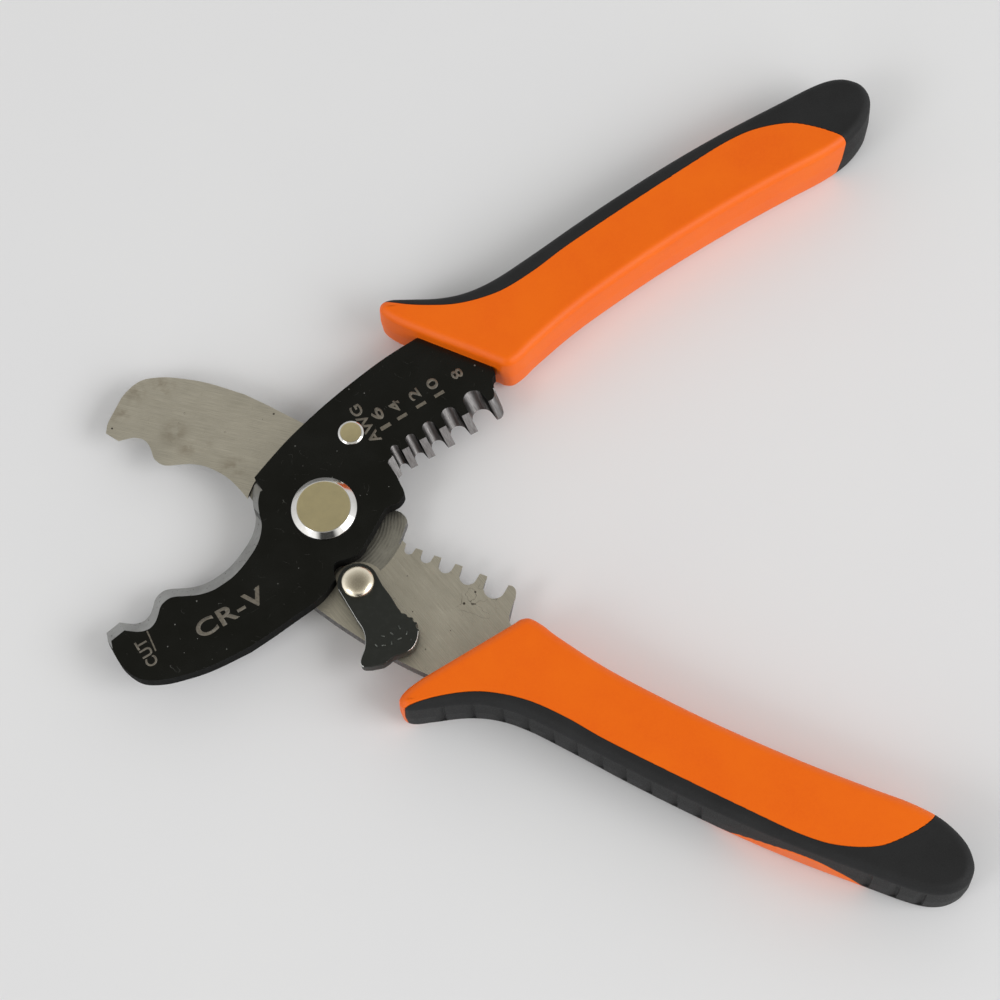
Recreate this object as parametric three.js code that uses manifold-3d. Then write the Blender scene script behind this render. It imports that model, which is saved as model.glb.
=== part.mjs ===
// Seven-inch wire stripper with a cable-cutting jaw, five stripping notches, a thumb latch and two-colour grips.
// Millimetres. The pivot is the Z axis, +X runs between the open handles and +Z is the marked front.
// z = 0 is the flat rear face of the pivot nut. Every lever outline is drawn with the tool closed: x runs
// along the closing line towards the handles, +y is the side that its own handle lies on.
import * as THREE from "three";
import { mergeVertices } from "three/addons/utils/BufferGeometryUtils.js";
import Module from "manifold-3d";

const wasm = await Module();
wasm.setup();

// Driving dimensions
const OPENING_DEG = 57; // angle between the two levers at rest
const BLADE = 3.0; // thickness of one blade
const BLADE_GAP = 0.1; // running gap between the two blades
const BEVEL = 1.0; // cutting edges fall back 1 mm for each mm of thickness
const PIVOT = { shank: 3.2, hub: 4.4, head: 6.15, headFlat: 5.0, headHeight: 1.2, chamfer: 0.9 };
const WASHER = { radius: 5.6, thickness: 0.4 };
const RUNNING = 0.1; // radial clearance of a hole on a pin that turns in it
const CLEAR = 0.05; // axial clearance between stacked pieces that turn on each other
const SEATED = 0.02; // clearance under a head that is riveted down
const POCKET = { radius: 15.2, boss: 5.0, depth: 0.8 }; // milled clearance round the pivot
const SPRING = { radius: 7.4, wire: 0.5, rise: 0.6, from: 150, turn: 300, step: 12, bend: 3 }; // angles in degrees
const SPRING_LEG = { hole: 0.9, depth: 1.9, spare: 0.3, knee: 1.2 }; // each leg ends in a hole in its blade
const PIN_AT = [11.9, 10.3]; // stop pin on one blade, latch rivet on the other: the same punched hole
const PIN = { shank: 1.9, head: 2.45, headFlat: 2.05, headHeight: 0.5, collar: 3.1 };
const LATCH = { bottom: 0.35, thickness: 2.4, head: 3.75 };
const RIVET = { shank: 1.9, dome: 3.05, domeHeight: 1.5, tail: 2.9, tailFlat: 2.5, tailHeight: 0.6 };
const LATCH_WASHER = { radius: 3.4, thickness: 0.3 };
const NOTCHES = [[17.1, 0.87], [20.65, 1.05], [24.65, 1.3], [29.25, 1.6], [34.6, 2.0]]; // x, radius
const GRIP = { half: 6.4, edge: 1.5, middle: 0.8, split: 0.12, slot: 0.2 };

const HALF_OPEN = THREE.MathUtils.degToRad(OPENING_DEG / 2);
const FACE = BLADE_GAP / 2; // inner face of each blade, measured from the plane between them
const OUTER = FACE + BLADE; // outer face of each blade
const NUT_TOP = OUTER + WASHER.thickness + 2 * CLEAR;
const MIDDLE_Z = NUT_TOP + PIVOT.headHeight; // height of the plane between the blades
const ROUND = 48; // sides of a round piece
const CURVE = 8; // points on a curve for each of its own points
const PAST = 10; // how far a cutter runs past what it cuts

const material = (color, roughness, metalness) => new THREE.MeshStandardMaterial({ color, roughness, metalness });
const BLACK_COATED = material(0x1b1c19, 0.35, 0.4);
const GROUND_STEEL = material(0x969387, 0.4, 0.9);
const NICKEL = material(0xb0a890, 0.25, 1);
const SPRING_STEEL = material(0x6d6d6a, 0.35, 1);
const ORANGE_PLASTIC = material(0xf86e19, 0.5, 0);
const CHARCOAL_RUBBER = material(0x2d2f30, 0.7, 0);

// A closed geometry as a solid that can be cut and joined
function solid(geometry) {
  const plain = geometry.clone();
  plain.deleteAttribute("normal");
  plain.deleteAttribute("uv");
  const merged = mergeVertices(plain, 1e-4);
  return new wasm.Manifold(
    new wasm.Mesh({
      numProp: 3,
      vertProperties: new Float32Array(merged.attributes.position.array),
      triVerts: new Uint32Array(merged.index.array),
    }),
  );
}

function named(name, body, look) {
  const mesh = body.getMesh();
  const geometry = new THREE.BufferGeometry();
  geometry.setAttribute("position", new THREE.BufferAttribute(mesh.vertProperties, 3));
  geometry.setIndex(new THREE.BufferAttribute(mesh.triVerts, 1));
  geometry.computeVertexNormals();
  const piece = new THREE.Mesh(geometry, look);
  piece.name = name;
  return piece;
}

// An outline raised from z0 to z1
function raised(shape, z0, z1) {
  const geometry = new THREE.ExtrudeGeometry(shape, { depth: z1 - z0, bevelEnabled: false, curveSegments: CURVE });
  return geometry.translate(0, 0, z0);
}

function polygon(points) {
  return new THREE.Shape(points.map(([x, y]) => new THREE.Vector2(x, y)));
}

// Carries a path on through points, as a smooth curve
function curveOn(path, points) {
  path.splineThru(points.map(([x, y]) => new THREE.Vector2(x, y)));
  return path;
}

function turned(profile, x = 0, y = 0) {
  const geometry = new THREE.LatheGeometry(profile.map(([r, z]) => new THREE.Vector2(r, z)), ROUND);
  return solid(geometry.rotateX(Math.PI / 2).translate(x, y, 0));
}

// A plain disc or pin; LatheGeometry wants its profile from the bottom up
function disc(radius, z0, z1, x = 0, y = 0) {
  return turned([[0, z0], [radius, z0], [radius, z1], [0, z1]], x, y);
}

// A flat headed fastener's chamfered head between two heights, wide at its foot
function headProfile(foot, top, shank, end) {
  const { head, headFlat, chamfer } = PIVOT;
  return [[0, end], [shank, end], [shank, foot], [head, foot], [head, top - chamfer], [headFlat, top], [0, top]];
}

// Leans a geometry over in y as it rises, which turns a straight cut into a ground bevel
function leaned(geometry, perMillimetre) {
  const lean = new THREE.Matrix4().makeShear(0, 0, 0, 0, 0, 0);
  lean.elements[9] = perMillimetre;
  geometry.applyMatrix4(new THREE.Matrix4().makeTranslation(0, -perMillimetre * FACE, 0).multiply(lean));
  return solid(geometry);
}

// Everything on the mouth's side of the jaw's cutting edge, as it is on the inner face
function mouthOutline() {
  const path = new THREE.Shape();
  path.moveTo(-60, -1);
  path.lineTo(-46.3, -1);
  path.lineTo(-46.05, 0.6);
  path.lineTo(-45.5, 2.1);
  path.lineTo(-42.5, 2.55);
  curveOn(path, [[-41.4, 1.6], [-40.1, 0.7], [-38.5, 0.35], [-37.1, 0.8], [-36, 1.7], [-35, 2.75]]);
  curveOn(path, [[-34.2, 3.2], [-32.8, 3.45], [-31.6, 3.15], [-29.9, 2.2], [-28, 1.2], [-26.1, 0.6]]);
  curveOn(path, [[-24.2, 0.4], [-20.5, 0.75], [-16.7, 2.15], [-13.5, 4], [-11.4, 6.4], [-10.6, 8.6]]);
  curveOn(path, [[-9.6, 10.8], [-8.3, 12.4]]);
  path.lineTo(-7.7, 12.5);
  path.lineTo(-7.7, 30);
  path.lineTo(-60, 30);
  return path;
}

// Everything beyond the stripping teeth, as it is on the inner face
function teethOutline() {
  const path = new THREE.Shape();
  path.moveTo(14.6, -PAST);
  path.lineTo(14.6, -1.6);
  path.lineTo(14.95, -1.25);
  for (const [i, [x, r]] of NOTCHES.entries()) {
    const tip = -0.85 - 0.09 * i; // the teeth grow a little towards the handle
    path.lineTo(x - r - 0.12, tip);
    path.lineTo(x - r, 0.1 * i);
    path.absarc(x, 0.1 * i, r, Math.PI, 0, true);
    path.lineTo(x + r + 0.12, tip);
  }
  curveOn(path, [[37.1, -1.3], [37.8, -1.25], [38.5, -0.6], [38.9, 0.5]]);
  path.lineTo(39.3, 0.5);
  path.lineTo(39.3, -PAST);
  return path;
}

// The tang that the grip is moulded round, and the blade's last stretch before it
function tangOuter(grow) {
  return [[36, 19.8 + grow], [42, 17.5 + grow], [55, 16.4 + grow], [105 + grow, 16.8 + grow]];
}

function tangInner(grow) {
  const end = [[108 + 2 * grow, 14.6], [105 + grow, 12.6 - grow]];
  return [...end, [55, 11.4 - grow], [46, 9.8 - grow], [41.6 + grow, 8.6]];
}

// One blade with its working edges left square and too full, before they are ground
function bladeOutline() {
  const path = new THREE.Shape();
  path.moveTo(-46.1, 4);
  path.lineTo(-46.25, -3.5);
  curveOn(path, [[-46.1, -6.6], [-44.6, -10.1], [-41.5, -12.3], [-37.7, -13.7], [-32.4, -14.95], [-25, -15.65]]);
  curveOn(path, [[-20, -15.4], [-15, -15.0], [-10.1, -14.6], [-7.6, -13.9], [-5.2, -12.8]]);
  curveOn(path, [[-4.9, -11.8], [-4.3, -10.6], [-3.3, -10.2], [-1.2, -10.8]]);
  curveOn(path, [[1.2, -10.8], [3.75, -9.4], [6.25, -8.0], [8.6, -6.6], [9.9, -6.15], [12, -6.35], [13.4, -5.9]]);
  curveOn(path, [[14.1, -5.2], [14.35, -3.5], [14.6, -1.6]]);
  path.lineTo(14.6, -3);
  path.lineTo(38.2, -3);
  path.lineTo(38.9, 0.5);
  curveOn(path, [[39.05, 2.5], [39.4, 4.4], [40.1, 5.35], [40.8, 5.75], [41.1, 7.3]]);
  path.lineTo(41.6, 8.6);
  for (const [x, y] of tangInner(0).reverse().slice(1)) path.lineTo(x, y);
  for (const [x, y] of tangOuter(0).reverse()) path.lineTo(x, y);
  path.lineTo(31.9, 20.25);
  curveOn(path, [[25, 20.0], [17.5, 19.1], [10, 17.8], [2.5, 16.0], [-2.5, 14.4], [-7.7, 12.5]]);
  path.lineTo(-9, 14);
  path.lineTo(-40, 6);
  return path;
}

// A lever's blade with its front face up: ground edges, pivot hole, spring pocket and one rivet hole
function blade(pocketRadius) {
  let body = solid(raised(bladeOutline(), FACE, OUTER));
  body = body.subtract(leaned(raised(mouthOutline(), FACE - 1, OUTER + 1), -BEVEL));
  body = body.subtract(leaned(raised(teethOutline(), FACE - 1, OUTER + 1), BEVEL));
  body = body.subtract(disc(PIVOT.shank + RUNNING, -PAST, PAST));
  body = body.subtract(disc(PIN.shank + FACE, -PAST, PAST, ...PIN_AT));
  const floor = FACE + POCKET.depth;
  let pocket = disc(pocketRadius, -1, floor).subtract(disc(PIVOT.hub, -PAST, PAST));
  pocket = pocket.subtract(disc(POCKET.boss, -PAST, PAST, ...PIN_AT));
  return body.subtract(pocket);
}

function springEnd(degrees, z) {
  const angle = THREE.MathUtils.degToRad(degrees);
  return new THREE.Vector3(SPRING.radius * Math.cos(angle), SPRING.radius * Math.sin(angle), z);
}

// Hole for one leg of the return spring, drilled into a blade's pocket floor
function springHole(degrees, sign) {
  const { x, y } = springEnd(degrees, 0);
  const depth = FACE + SPRING_LEG.depth + SPRING_LEG.spare;
  return disc(SPRING_LEG.hole, sign > 0 ? 0 : -depth, sign > 0 ? depth : 0, x, y);
}

function returnSpring() {
  const { from, turn, step, bend, wire, rise } = SPRING;
  const { depth, knee } = SPRING_LEG;
  const to = from + turn;
  const points = [springEnd(from, -depth), springEnd(from, -knee), springEnd(from + bend, -knee / 2)];
  for (let angle = step; angle <= turn - step; angle += step) {
    points.push(springEnd(from + angle, rise * (angle / turn - 0.5)));
  }
  points.push(springEnd(to - bend, knee / 2), springEnd(to, knee), springEnd(to, depth));
  const section = new THREE.Shape().absarc(0, 0, wire, 0, 2 * Math.PI);
  const path = new THREE.CatmullRomCurve3(points);
  return solid(new THREE.ExtrudeGeometry(section, { steps: 90, curveSegments: 4, extrudePath: path }));
}

function pivotBolt() {
  const foot = OUTER + CLEAR;
  const end = -(OUTER + WASHER.thickness / 2);
  return turned(headProfile(foot, foot + PIVOT.headHeight, PIVOT.shank, end));
}

function pivotNut() {
  const { head, headFlat, chamfer } = PIVOT;
  const rear = -MIDDLE_Z;
  return turned([[0, rear], [headFlat, rear], [head, rear + chamfer], [head, -NUT_TOP], [0, -NUT_TOP]]);
}

function pivotWasher() {
  const top = -(OUTER + CLEAR);
  const hole = disc(PIVOT.shank + RUNNING, -PAST, PAST);
  return disc(WASHER.radius, top - WASHER.thickness, top).subtract(hole);
}

function stopPin() {
  const { shank, head, headFlat, headHeight, collar } = PIN;
  const foot = OUTER + SEATED;
  const top = foot + headHeight;
  const profile = [[0, -OUTER], [collar, -OUTER], [collar, 0], [shank, 0], [shank, foot], [head, foot]];
  profile.push([head, foot + headHeight / 2], [headFlat, top], [0, top]);
  return turned(profile, ...PIN_AT);
}

// The thumb latch in the plane of the front blade: eye, arm, hook and ribbed thumb tab
function latch() {
  const [px, py] = PIN_AT;
  const { head, bottom, thickness } = LATCH;
  const path = new THREE.Shape();
  const start = THREE.MathUtils.degToRad(135);
  const end = THREE.MathUtils.degToRad(-55);
  path.absarc(px, py, head, end, start, true);
  path.lineTo(15, 16.9);
  curveOn(path, [[16.7, 18], [17.9, 19.5], [18.6, 21.2], [18.85, 23.2], [19.3, 24.1], [20, 24.3], [21.2, 23.8]]);
  path.lineTo(23, 22.5);
  curveOn(path, [[23.6, 21.5], [24.2, 20.3], [25.7, 18.8], [26.5, 17.4], [26.5, 15.6], [25.6, 13.3], [24, 12.3]]);
  curveOn(path, [[22.2, 12.15], [20.9, 11.8], [18.5, 10.2], [16.2, 8.9]]);
  const blank = solid(raised(path, bottom, bottom + thickness));
  return blank.subtract(disc(RIVET.shank + RUNNING, -PAST, PAST, px, py));
}

function latchRivet() {
  const { shank, dome, domeHeight, tail, tailFlat, tailHeight } = RIVET;
  const foot = LATCH.bottom + LATCH.thickness + CLEAR;
  const back = -(OUTER + SEATED);
  const rear = back - tailHeight;
  const profile = [[0, rear], [tailFlat, rear], [tail, back], [shank, back], [shank, foot], [dome, foot]];
  const rings = 5;
  for (let ring = 1; ring < rings; ring++) {
    const angle = (ring / rings) * (Math.PI / 2);
    profile.push([dome * Math.cos(angle), foot + domeHeight * Math.sin(angle)]);
  }
  profile.push([0, foot + domeHeight]);
  return turned(profile, ...PIN_AT);
}

function latchWasher() {
  const washer = disc(LATCH_WASHER.radius, 0, LATCH_WASHER.thickness, ...PIN_AT);
  return washer.subtract(disc(RIVET.shank + RUNNING, -PAST, PAST, ...PIN_AT));
}

// Outline of a whole grip, seen from the front
function gripOutline() {
  const path = new THREE.Shape();
  path.moveTo(41.6, 6.4);
  path.lineTo(30.8, 22.6);
  curveOn(path, [[29.4, 25.2], [28.8, 27.4], [29.3, 28.7], [30.5, 29.2], [32.2, 28.8], [35, 27.1], [40, 24.1]]);
  curveOn(path, [[45, 22.3], [51, 21.7], [60, 22.2], [70, 23], [80, 23.6], [92, 24], [104, 23.9], [116, 23.3]]);
  curveOn(path, [[125, 22.7]]);
  curveOn(path, [[129.5, 21.2], [132, 18.6], [132.6, 16.2], [131.8, 13.6], [129, 10.8], [124, 8.8], [118, 8.3]]);
  curveOn(path, [[110, 8.7], [98, 9.1], [84, 9], [72, 8.4], [60, 7.3], [50, 5.5], [46.5, 4.6], [43.8, 4.4]]);
  curveOn(path, [[42.3, 5.3]]);
  return path;
}

// The side of the seam that the soft overmould covers: the outer edge and the whole handle end
function overmouldSide(shift) {
  const path = new THREE.Shape();
  path.moveTo(29.4 + shift, 31 + shift);
  const seam = [[31.2, 28.3], [35, 24.9], [40, 21.7], [45, 19.9], [51, 19.0], [58, 19.2], [66, 20.1], [80, 20.8]];
  seam.push([95, 21.1], [104, 21.0], [110, 20.0], [116, 17.4], [120.5, 13.2], [122.8, 9.9], [123.4, 6]);
  curveOn(path, seam.map(([x, y]) => [x + shift, y + shift]));
  path.lineTo(140, 6);
  path.lineTo(140, 40);
  path.lineTo(29.4 + shift, 40);
  return path;
}

function gripBlank() {
  const { half, edge, middle } = GRIP;
  const settings = { depth: 2 * (half - edge), curveSegments: 2 };
  Object.assign(settings, { bevelThickness: edge, bevelSize: edge, bevelOffset: -edge, bevelSegments: 3 });
  const geometry = new THREE.ExtrudeGeometry(gripOutline(), settings);
  return solid(geometry.translate(0, 0, middle - half + edge));
}

// The hard core has a slot for the tang, open at the front; bladeBottom is the tang's lower face
function gripCore(bladeBottom) {
  const { half, split, slot } = GRIP;
  const cover = solid(raised(overmouldSide(-split), -half - PAST, half + PAST));
  const mouth = [[41.4, 5.4], [38, 4.2], [25, 4.2]]; // well in front of the grip
  const tang = polygon([[30, 20.3 + slot], ...tangOuter(slot), ...tangInner(slot), ...mouth]);
  const pocket = solid(raised(tang, bladeBottom - slot, bladeBottom + BLADE + slot));
  return gripBlank().subtract(cover).subtract(pocket);
}

function gripOvermould() {
  const cover = solid(raised(overmouldSide(GRIP.split), -GRIP.half - PAST, GRIP.half + PAST));
  return gripBlank().intersect(cover);
}

// The rear lever's steel is the same stamping turned over about the closing line
function turnedOver(body) {
  return body.rotate([180, 0, 0]);
}

// The rear lever's grips and latch keep the front face up, so they are only mirrored across the closing line
function mirrored(body) {
  return body.mirror([0, 1, 0]);
}

function frontLever() {
  const group = new THREE.Group();
  const springUp = SPRING.from + SPRING.turn - OPENING_DEG / 2;
  group.add(named("front_blade", blade(PIVOT.hub + 5.2).subtract(springHole(springUp, 1)), BLACK_COATED));
  group.add(named("stop_pin", stopPin(), NICKEL));
  group.add(named("front_grip_core", gripCore(FACE), ORANGE_PLASTIC));
  group.add(named("front_grip_overmould", gripOvermould(), CHARCOAL_RUBBER));
  group.rotation.z = HALF_OPEN;
  return group;
}

function rearLever() {
  const group = new THREE.Group();
  const springDown = SPRING.from + OPENING_DEG / 2;
  const rearBlade = turnedOver(blade(POCKET.radius)).subtract(springHole(springDown, -1));
  group.add(named("rear_blade", rearBlade, GROUND_STEEL));
  group.add(named("latch", mirrored(latch()), BLACK_COATED));
  group.add(named("latch_rivet", mirrored(latchRivet()), NICKEL));
  group.add(named("latch_washer", mirrored(latchWasher()), SPRING_STEEL));
  group.add(named("rear_grip_core", mirrored(gripCore(-OUTER)), ORANGE_PLASTIC));
  group.add(named("rear_grip_overmould", mirrored(gripOvermould()), CHARCOAL_RUBBER));
  group.rotation.z = -HALF_OPEN;
  return group;
}

function pivot() {
  const group = new THREE.Group();
  group.add(named("pivot_bolt", pivotBolt(), NICKEL));
  group.add(named("pivot_washer", pivotWasher(), SPRING_STEEL));
  group.add(named("pivot_nut", pivotNut(), NICKEL));
  group.add(named("return_spring", returnSpring(), SPRING_STEEL));
  return group;
}

const stripper = new THREE.Group();
stripper.add(frontLever(), rearLever(), pivot());
stripper.position.z = MIDDLE_Z;

export default stripper;
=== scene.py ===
import math
import bmesh
import bpy
from mathutils import Matrix, Vector


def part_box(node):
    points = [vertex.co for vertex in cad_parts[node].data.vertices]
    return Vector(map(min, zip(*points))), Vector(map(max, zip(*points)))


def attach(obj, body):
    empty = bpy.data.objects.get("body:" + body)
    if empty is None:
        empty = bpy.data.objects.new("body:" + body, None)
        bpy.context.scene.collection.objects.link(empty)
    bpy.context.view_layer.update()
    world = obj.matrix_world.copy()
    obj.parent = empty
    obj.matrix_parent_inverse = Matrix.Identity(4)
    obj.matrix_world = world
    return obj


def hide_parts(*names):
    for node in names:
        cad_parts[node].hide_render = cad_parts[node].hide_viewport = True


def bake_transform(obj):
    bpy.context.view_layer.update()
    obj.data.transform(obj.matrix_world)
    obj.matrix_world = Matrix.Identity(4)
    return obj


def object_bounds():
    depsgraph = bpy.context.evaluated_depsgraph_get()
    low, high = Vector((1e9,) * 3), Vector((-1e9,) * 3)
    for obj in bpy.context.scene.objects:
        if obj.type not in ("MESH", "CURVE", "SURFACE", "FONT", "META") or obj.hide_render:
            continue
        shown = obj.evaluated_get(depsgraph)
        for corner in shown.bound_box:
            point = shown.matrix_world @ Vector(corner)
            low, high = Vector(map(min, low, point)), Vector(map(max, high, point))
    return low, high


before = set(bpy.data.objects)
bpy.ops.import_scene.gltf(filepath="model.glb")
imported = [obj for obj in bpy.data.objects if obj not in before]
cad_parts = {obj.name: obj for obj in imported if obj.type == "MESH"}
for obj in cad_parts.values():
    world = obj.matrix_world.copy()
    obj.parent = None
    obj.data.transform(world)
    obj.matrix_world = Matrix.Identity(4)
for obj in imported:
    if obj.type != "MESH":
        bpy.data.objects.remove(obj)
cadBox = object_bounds()
mm = 0.001

# A lever is drawn closed: x runs along the closing line to the handles, +y is its own handle's side,
# and z = 0 is the plane between the blades. The rear lever is the front one mirrored.
opening = math.radians(57)
middleZ = (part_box("front_blade")[0].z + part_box("rear_blade")[1].z) / 2
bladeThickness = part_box("front_blade")[1].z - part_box("front_blade")[0].z
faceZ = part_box("front_blade")[1].z - middleZ  # outer face of a blade
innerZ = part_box("front_blade")[0].z - middleZ
lift = Matrix.Translation((0, 0, middleZ))
frontPlace = lift @ Matrix.Rotation(opening / 2, 4, "Z")
rearPlace = lift @ Matrix.Rotation(-opening / 2, 4, "Z") @ Matrix.Scale(-1, 4, (0, 1, 0))
studPlace = Vector((11.9, 10.3, 0)) * mm  # stop pin in one lever, latch rivet in the other


def clearSelection():
    if bpy.context.object and bpy.context.object.mode == "EDIT":
        bpy.ops.object.mode_set(mode="OBJECT")
    bpy.ops.object.select_all(action="DESELECT")


def pick(piece):
    clearSelection()
    piece.select_set(True)
    bpy.context.view_layer.objects.active = piece


def editMesh(piece):
    pick(piece)
    bpy.ops.object.mode_set(mode="EDIT")
    bpy.ops.mesh.select_all(action="SELECT")


def selectFaces(piece, wanted):
    bpy.ops.mesh.select_mode(type="FACE")
    bpy.ops.mesh.select_all(action="DESELECT")
    shape = bmesh.from_edit_mesh(piece.data)
    for face in shape.faces:
        face.select_set(wanted(face))
    bmesh.update_edit_mesh(piece.data)


def useModifier(piece, kind, **settings):
    pick(piece)
    modifier = piece.modifiers.new(kind.lower(), kind)
    for name, value in settings.items():
        setattr(modifier, name, value)
    bpy.ops.object.modifier_apply(modifier=modifier.name)


def smooth(piece, angle):
    pick(piece)
    bpy.ops.object.shade_smooth_by_angle(angle=math.radians(angle))


def bevelEdges(piece, width, segments=3, angle=32, **settings):
    useModifier(
        piece, "BEVEL", width=width * mm, segments=segments, limit_method="ANGLE",
        angle_limit=math.radians(angle), use_clamp_overlap=True, **settings,
    )


def cutWith(piece, cutter, operation="DIFFERENCE"):
    useModifier(piece, "BOOLEAN", operation=operation, object=cutter, solver="EXACT")
    bpy.data.objects.remove(cutter)


def faceOutwards(piece):
    editMesh(piece)
    bpy.ops.mesh.normals_make_consistent(inside=False)
    if bmesh.from_edit_mesh(piece.data).calc_volume(signed=True) < 0:
        bpy.ops.mesh.flip_normals()
    clearSelection()


def joinPieces(pieces, name):
    clearSelection()
    for piece in pieces:
        piece.select_set(True)
    bpy.context.view_layer.objects.active = pieces[0]
    bpy.ops.object.join()
    joined = bpy.context.object
    joined.name = name
    return joined


def ramp(value, start, width):
    # 0 up to the start, then rising to 1 over the width
    return min(max((value - start) / width, 0), 1)


def curveThrough(points, steps=6):
    # smooth line through given points
    line = []
    last = len(points) - 1
    for i in range(last):
        near = [points[max(i - 1, 0)], points[i], points[i + 1], points[min(i + 2, last)]]
        for step in range(steps):
            t = step / steps
            weights = (
                (-t + 2 * t**2 - t**3) / 2,
                (2 - 5 * t**2 + 3 * t**3) / 2,
                (t + 4 * t**2 - 3 * t**3) / 2,
                (t**3 - t**2) / 2,
            )
            line.append(tuple(sum(w * p[k] for w, p in zip(weights, near)) for k in (0, 1)))
    return line + [points[-1]]


def drawLine(name, points, closed):
    # one vertex, extruded from point to point
    clearSelection()
    points = [Vector((p[0], p[1], p[2] if len(p) > 2 else 0)) * mm for p in points]
    bpy.ops.mesh.primitive_plane_add(size=mm)
    piece = bpy.context.object
    piece.name = name
    piece.data.name = name
    bpy.ops.object.mode_set(mode="EDIT")
    bpy.ops.mesh.select_mode(type="VERT")
    bpy.ops.mesh.merge(type="CENTER")
    bpy.ops.transform.translate(value=points[0])
    for here, there in zip(points, points[1:] + ([points[0]] if closed else [])):
        bpy.ops.mesh.extrude_region_move(TRANSFORM_OT_translate={"value": there - here})
    bpy.ops.mesh.select_all(action="SELECT")
    bpy.ops.mesh.remove_doubles(threshold=0.002 * mm)
    return piece


def drawPlate(name, points, z0, z1):
    # closed outline, filled and raised from z0 to z1
    piece = drawLine(name, [(x, y, z0) for x, y in points], closed=True)
    bpy.ops.mesh.edge_face_add()
    bpy.ops.mesh.extrude_region_move(TRANSFORM_OT_translate={"value": (0, 0, (z1 - z0) * mm)})
    bpy.ops.mesh.select_all(action="SELECT")
    bpy.ops.mesh.normals_make_consistent(inside=False)
    return piece


def spinPiece(name, profile, at=(0, 0), steps=96):
    # profile of (radius, height) spun round a vertical line
    piece = drawLine(name, [(radius, 0, z) for radius, z in profile], closed=False)
    bpy.ops.mesh.spin(steps=steps, angle=2 * math.pi, center=(0, 0, 0), axis=(0, 0, 1))
    bpy.ops.mesh.select_all(action="SELECT")
    bpy.ops.mesh.remove_doubles(threshold=0.004 * mm)
    bpy.ops.mesh.normals_make_consistent(inside=False)
    bpy.ops.object.mode_set(mode="OBJECT")
    piece.data.transform(Matrix.Translation((at[0], at[1], 0)))
    return piece


def finishPiece(piece, place, body, materials, nodes=()):
    # puts a finished mesh in the tool, gives it its finish and hides the CAD nodes it stands for
    clearSelection()
    piece.data.transform(place)
    if place.determinant() < 0:  # a mirrored place turns the mesh inside out
        faceOutwards(piece)
    useModifier(piece, "WEIGHTED_NORMAL", keep_sharp=True, weight=100, mode="FACE_AREA_WITH_ANGLE")
    if materials:
        chosen = [min(face.material_index, len(materials) - 1) for face in piece.data.polygons]
        piece.data.materials.clear()
        for material in materials:
            piece.data.materials.append(material)
        piece.data.polygons.foreach_set("material_index", chosen)
    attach(piece, body)
    if nodes:
        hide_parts(*nodes)
    return piece


def copyPiece(piece, name):
    twin = piece.copy()
    twin.data = piece.data.copy()
    twin.name = name
    twin.data.name = name
    bpy.context.scene.collection.objects.link(twin)
    return twin


def copyNode(node, name):
    # a copy of a CAD node, merged and with its flat faces made whole
    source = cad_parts[node]
    piece = bpy.data.objects.new(name, source.data.copy())
    piece.data.name = name
    bpy.context.scene.collection.objects.link(piece)
    editMesh(piece)
    bpy.ops.mesh.remove_doubles(threshold=0.001 * mm)
    bpy.ops.mesh.select_all(action="SELECT")
    bpy.ops.mesh.dissolve_limited(angle_limit=math.radians(0.5), delimit=set())
    bpy.ops.mesh.customdata_custom_splitnormals_clear()
    clearSelection()
    return piece


# node helpers
def newGroup(name, **values):
    # a pattern with a Vector, a Scale and its own values going in, and one mask coming out
    group = bpy.data.node_groups.new(name, "ShaderNodeTree")
    group.interface.new_socket("Vector", in_out="INPUT", socket_type="NodeSocketVector")
    for socketName, value in {"Scale": 1.0, **values}.items():
        socket = group.interface.new_socket(socketName, in_out="INPUT", socket_type="NodeSocketFloat")
        socket.default_value = value
    group.interface.new_socket("Mask", in_out="OUTPUT", socket_type="NodeSocketFloat")
    start, end = group.nodes.new("NodeGroupInput"), group.nodes.new("NodeGroupOutput")
    return group, start.outputs, end.inputs[0]


def link(tree, source, target):
    if isinstance(source, bpy.types.NodeSocket):
        tree.links.new(source, target)
    else:
        target.default_value = source


def calculate(tree, operation, *values):
    node = tree.nodes.new("ShaderNodeMath")
    node.operation = operation
    for value, socket in zip(values, node.inputs):
        link(tree, value, socket)
    return node.outputs[0]


def times(tree, first, second):
    return calculate(tree, "MULTIPLY", first, second)


def highest(tree, first, second):
    return calculate(tree, "MAXIMUM", first, second)


def remap(tree, value, low, high, toLow=0.0, toHigh=1.0):
    node = tree.nodes.new("ShaderNodeMapRange")
    for source, socket in zip((value, low, high, toLow, toHigh), node.inputs):
        link(tree, source, socket)
    return node.outputs[0]


def blendColor(tree, mask, first, second):
    node = tree.nodes.new("ShaderNodeMix")
    node.data_type = "RGBA"
    link(tree, mask, node.inputs[0])
    for color, socket in ((first, node.inputs[6]), (second, node.inputs[7])):
        link(tree, color if isinstance(color, bpy.types.NodeSocket) else (*color, 1), socket)
    return node.outputs[2]


def noise(tree, vector, scale, detail=2.0, roughness=0.5):
    node = tree.nodes.new("ShaderNodeTexNoise")
    link(tree, vector, node.inputs["Vector"])
    link(tree, scale, node.inputs["Scale"])
    node.inputs["Detail"].default_value = detail
    node.inputs["Roughness"].default_value = roughness
    return node.outputs["Fac"]


def coords(tree, turn=0.0, cell=(1, 1, 1)):
    # object coordinates measured in cells of so many millimetres, turned about Z
    source = tree.nodes.new("ShaderNodeTexCoord")
    mapping = tree.nodes.new("ShaderNodeMapping")
    mapping.vector_type = "TEXTURE"
    mapping.inputs["Rotation"].default_value = (0, 0, math.radians(turn))
    mapping.inputs["Scale"].default_value = [size * mm for size in cell]
    tree.links.new(source.outputs["Object"], mapping.inputs["Vector"])
    return mapping.outputs["Vector"]


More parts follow.
